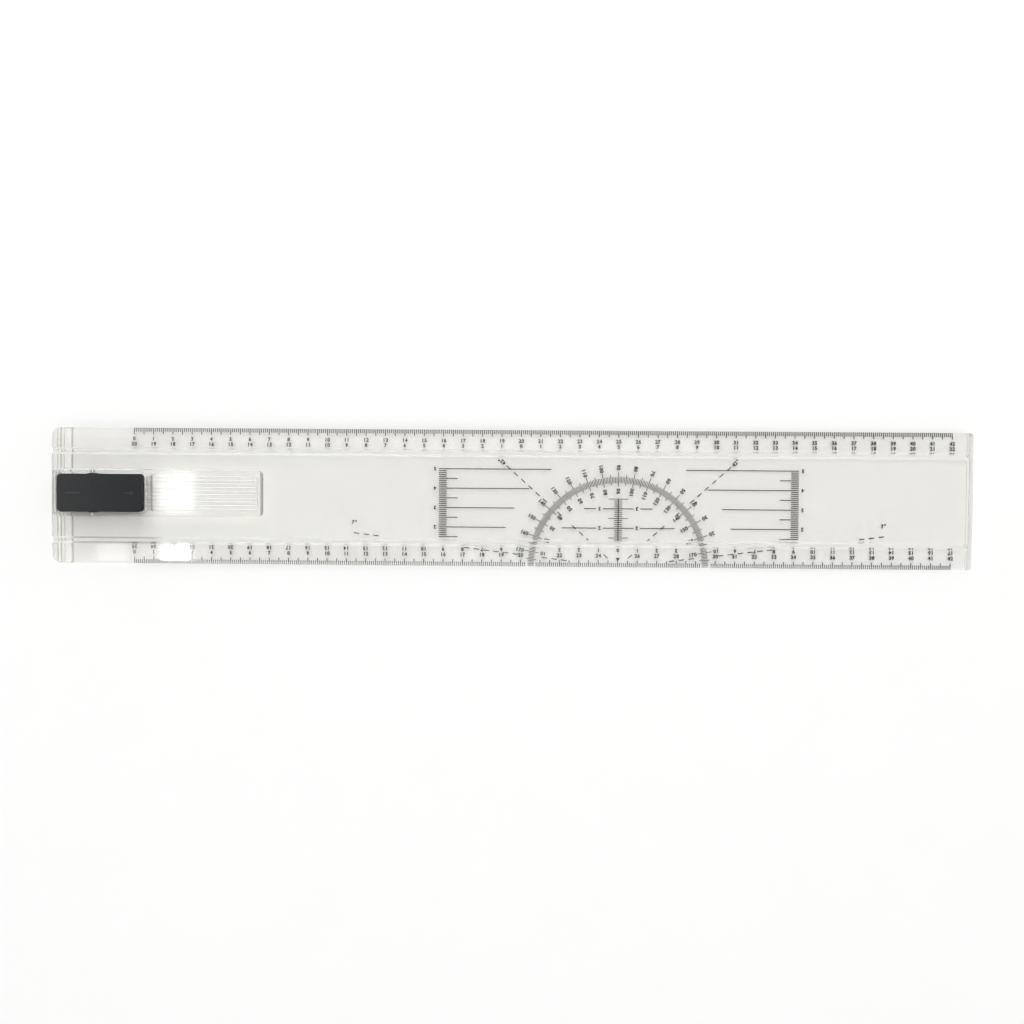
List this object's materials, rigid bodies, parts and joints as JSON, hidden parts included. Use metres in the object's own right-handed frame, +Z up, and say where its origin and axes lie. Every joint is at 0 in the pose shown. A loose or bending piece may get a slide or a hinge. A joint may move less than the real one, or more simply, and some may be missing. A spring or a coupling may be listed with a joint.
{
  "type": "sliding parallel rule",
  "caption": "Clear sliding rule of a drawing board: grooved blade, guide rail under one end, ribbed grip, and a black rocker that locks or frees it.",
  "frame": {"origin": "middle of the base: half way along and across the blade, level with the foot of the guide rail", "axes": "+X along the rule, away from the end with the rail and grip; +Y across it towards the upper scale; +Z up from the paper"},
  "size_m": [0.472, 0.07, 0.0174],
  "materials": {
    "clear_acrylic": "polished clear acrylic, barely tinted",
    "black_plastic": "fine spark-eroded matt black",
    "steel": "bright spring and pin steel",
    "brake_rubber": "dull black rubber"
  },
  "bodies": {
    "rule": {"rule_blade": "clear_acrylic", "guide_rail": "clear_acrylic", "grip_housing": "clear_acrylic", "rocker_pin": "steel", "return_spring_front": "steel", "return_spring_rear": "steel", "click_spring": "steel", "click_spring_screw": "steel"},
    "rocker": {"rocker_button": "black_plastic"},
    "brake": {"brake_slider": "black_plastic", "brake_pad": "brake_rubber"}
  },
  "joints": [
    {"name": "rocker_tilt", "type": "hinge", "parent": "rule", "child": "rocker", "pos_m": [-0.2134, 0.0015, 0.011], "axis": [0, -1, 0], "range_deg": [0, 6]},
    {"name": "brake_travel", "type": "slide", "parent": "rule", "child": "brake", "axis": [0, 0, -1], "range_m": [0, 0.0015], "deforming": ["return_spring_front", "return_spring_rear"]}
  ],
  "couplings": [
    {"joint": "brake_travel", "follows": "rocker_tilt", "m_per_rad": 0.0136}
  ]
}
